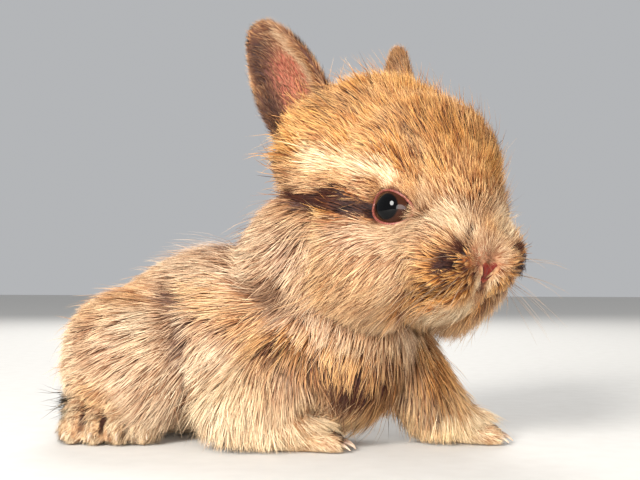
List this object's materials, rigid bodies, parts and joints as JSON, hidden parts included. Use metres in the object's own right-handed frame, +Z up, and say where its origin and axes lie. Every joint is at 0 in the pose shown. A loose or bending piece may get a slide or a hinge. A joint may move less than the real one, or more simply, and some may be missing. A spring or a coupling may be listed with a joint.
{
  "type": "rabbit figure",
  "caption": "Life-size model of a young lionhead rabbit, low on splayed legs with its head turned to its right, long coat in locks and a ruff behind the head.",
  "frame": {"origin": "on the floor under the middle of the model's bounding box", "axes": "+X the way the trunk points, +Y its left side, +Z up from the floor"},
  "size_m": [0.1178, 0.0654, 0.0999],
  "materials": {
    "head": "short dense fur",
    "neck": "long dense fur",
    "torso": "long dense fur",
    "tail": "dense fur",
    "haunch": "dense fur",
    "foreleg": "short dense fur",
    "hind_foot": "short dense fur",
    "ear": "thin skin with fine fur",
    "eye": "wet and glossy"
  },
  "bodies": {
    "root": {"ear_left": "ear", "ear_right": "ear", "eye_left": "eye", "eye_right": "eye", "foreleg_left": "foreleg", "foreleg_right": "foreleg", "haunch_left": "haunch", "haunch_right": "haunch", "head": "head", "hind_foot_left": "hind_foot", "hind_foot_right": "hind_foot", "neck": "neck", "tail": "tail", "torso": "torso"}
  },
  "joints": []
}
